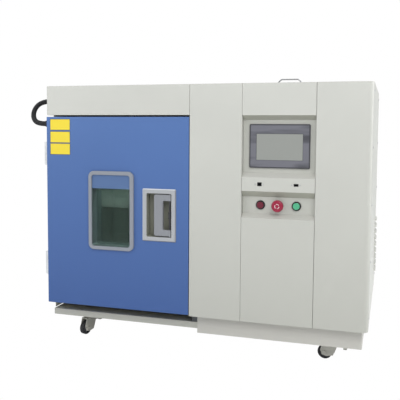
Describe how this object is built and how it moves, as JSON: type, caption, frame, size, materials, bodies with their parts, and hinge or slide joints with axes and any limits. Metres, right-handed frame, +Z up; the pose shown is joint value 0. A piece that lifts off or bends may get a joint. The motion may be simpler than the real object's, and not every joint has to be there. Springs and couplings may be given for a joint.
{
  "type": "environmental test chamber",
  "caption": "Bench-height climate test chamber on casters with a hinged blue door, viewing window, recessed handle, touch panel, push buttons and emergency stop.",
  "frame": {"origin": "middle of the footprint on the floor, midway between the extremes in width and depth without the conduit", "axes": "+X to the right seen from the front, +Y to the back, +Z up"},
  "size_m": [1.2591, 0.83, 0.987],
  "materials": {
    "cabinet_paint": "satin",
    "door_blue": "satin",
    "base_paint": "satin",
    "frame_steel": "matte",
    "stainless": "satin",
    "zinc": "satin",
    "insulation": "matte",
    "trim_grey": "satin",
    "handle_grey": "satin",
    "panel_dark": "matte",
    "screen": "gloss",
    "glass": "gloss",
    "red_lens": "gloss",
    "red_head": "satin",
    "mint_lens": "gloss",
    "black_plastic": "matte",
    "seal": "matte",
    "silicone": "matte",
    "tread": "matte",
    "aluminium": "satin",
    "copper": "satin",
    "machine_black": "satin",
    "tank_white": "satin"
  },
  "bodies": {
    "cabinet": {"welded_frame": "frame_steel", "base_tray": "base_paint", "plinth": "base_paint", "fascia": "cabinet_paint", "front_panel_left": "cabinet_paint", "control_panel": "cabinet_paint", "front_panel_right": "cabinet_paint", "roof_panel": "cabinet_paint", "left_side_panel": "cabinet_paint", "right_side_panel": "cabinet_paint", "rear_panel": "cabinet_paint", "chamber_body": "insulation", "chamber_liner": "stainless", "air_baffle": "stainless", "chamber_shelves": "stainless", "evaporator": "aluminium", "heater": "stainless", "humidifier": "stainless", "circulation_motor": "machine_black", "compressor": "machine_black", "condenser": "aluminium", "refrigerant_pipes": "copper", "electrical_board": "zinc", "water_reservoir": "tank_white", "touch_panel": "panel_dark", "touch_screen": "screen", "data_ports": "black_plastic", "button_collars": "black_plastic", "port_sleeve": "stainless", "body_door_fittings": "stainless", "caster_plates": "zinc", "conduit": "black_plastic", "service_fittings": "black_plastic"},
    "door": {"door_skin": "door_blue", "door_inner_panel": "stainless", "door_gasket": "seal", "window_frame": "trim_grey", "window_glass": "glass", "handle_bezel": "handle_grey", "door_hinge_leaves": "stainless", "door_gland": "black_plastic"},
    "lever": {"door_lever": "trim_grey"},
    "stop_plunger": {"estop_plunger": "black_plastic"},
    "stop_head": {"estop_head": "red_head"},
    "power_button": {"power_button": "red_lens"},
    "light_button": {"light_button": "mint_lens"},
    "circulation_fan": {"circulation_fan": "aluminium"},
    "condenser_fan": {"condenser_fan": "black_plastic"},
    "reservoir_lid": {"reservoir_lid": "cabinet_paint"},
    "port_plug": {"port_plug": "silicone"},
    "fork_front_left": {"fork_front_left": "zinc"},
    "wheel_front_left": {"wheel_front_left": "tread"},
    "pedal_front_left": {"brake_pedal_front_left": "zinc"},
    "fork_front_right": {"fork_front_right": "zinc"},
    "wheel_front_right": {"wheel_front_right": "tread"},
    "pedal_front_right": {"brake_pedal_front_right": "zinc"},
    "fork_rear_left": {"fork_rear_left": "zinc"},
    "wheel_rear_left": {"wheel_rear_left": "tread"},
    "fork_rear_right": {"fork_rear_right": "zinc"},
    "wheel_rear_right": {"wheel_rear_right": "tread"}
  },
  "joints": [
    {"name": "door_hinge", "type": "hinge", "parent": "cabinet", "child": "door", "pos_m": [-0.58575, -0.384, 0.49], "axis": [0, 0, -1], "range_deg": [0, 120], "deforming": ["conduit"]},
    {"name": "lever_pivot", "type": "hinge", "parent": "door", "child": "lever", "pos_m": [-0.09225, -0.402, 0.493], "axis": [0, 0, 1], "range_deg": [0, 35], "stiffness_Nm_per_rad": 1.2},
    {"name": "stop_press", "type": "slide", "parent": "cabinet", "child": "stop_plunger", "axis": [0, 1, 0], "range_m": [0, 0.004]},
    {"name": "stop_twist", "type": "hinge", "parent": "stop_plunger", "child": "stop_head", "pos_m": [0.28605, -0.406, 0.5425], "axis": [0, -1, 0], "range_deg": [-45, 0], "stiffness_Nm_per_rad": 0.05},
    {"name": "power_button_press", "type": "slide", "parent": "cabinet", "child": "power_button", "axis": [0, 1, 0], "range_m": [0, 0.003], "stiffness_N_per_m": 400},
    {"name": "light_button_press", "type": "slide", "parent": "cabinet", "child": "light_button", "axis": [0, 1, 0], "range_m": [0, 0.003], "stiffness_N_per_m": 400},
    {"name": "swivel_front_left", "type": "hinge", "parent": "cabinet", "child": "fork_front_left", "pos_m": [-0.46525, -0.278, 0.06], "axis": [0, 0, 1], "continuous": true},
    {"name": "roll_front_left", "type": "hinge", "parent": "fork_front_left", "child": "wheel_front_left", "pos_m": [-0.47267, -0.30083, 0.025], "axis": [-0.9511, 0.309, 0], "continuous": true},
    {"name": "brake_front_left", "type": "hinge", "parent": "fork_front_left", "child": "pedal_front_left", "pos_m": [-0.46247, -0.26944, 0.0515], "axis": [-0.9511, 0.309, 0], "range_deg": [0, 12]},
    {"name": "swivel_front_right", "type": "hinge", "parent": "cabinet", "child": "fork_front_right", "pos_m": [0.46375, -0.278, 0.06], "axis": [0, 0, 1], "continuous": true},
    {"name": "roll_front_right", "type": "hinge", "parent": "fork_front_right", "child": "wheel_front_right", "pos_m": [0.43988, -0.27549, 0.025], "axis": [0.1045, 0.9945, 0], "continuous": true},
    {"name": "brake_front_right", "type": "hinge", "parent": "fork_front_right", "child": "pedal_front_right", "pos_m": [0.4727, -0.27894, 0.0515], "axis": [0.1045, 0.9945, 0], "range_deg": [0, 12]},
    {"name": "swivel_rear_left", "type": "hinge", "parent": "cabinet", "child": "fork_rear_left", "pos_m": [-0.46525, 0.296, 0.06], "axis": [0, 0, 1], "continuous": true},
    {"name": "roll_rear_left", "type": "hinge", "parent": "fork_rear_left", "child": "wheel_rear_left", "pos_m": [-0.44155, 0.29225, 0.025], "axis": [-0.1564, -0.9877, 0], "continuous": true},
    {"name": "swivel_rear_right", "type": "hinge", "parent": "cabinet", "child": "fork_rear_right", "pos_m": [0.46375, 0.296, 0.06], "axis": [0, 0, 1], "continuous": true},
    {"name": "roll_rear_right", "type": "hinge", "parent": "fork_rear_right", "child": "wheel_rear_right", "pos_m": [0.48657, 0.30342, 0.025], "axis": [0.309, -0.9511, 0], "continuous": true},
    {"name": "circulation_fan_spin", "type": "hinge", "parent": "cabinet", "child": "circulation_fan", "pos_m": [-0.31425, 0.028, 0.65], "axis": [0, 1, 0], "continuous": true},
    {"name": "condenser_fan_spin", "type": "hinge", "parent": "cabinet", "child": "condenser_fan", "pos_m": [0.38575, 0.3055, 0.3], "axis": [0, 1, 0], "continuous": true},
    {"name": "lid_lift", "type": "slide", "parent": "cabinet", "child": "reservoir_lid", "axis": [0, 0, 1], "range_m": [0, 0.06]},
    {"name": "plug_pull", "type": "slide", "parent": "cabinet", "child": "port_plug", "axis": [-1, 0, 0], "range_m": [0, 0.08]}
  ]
}
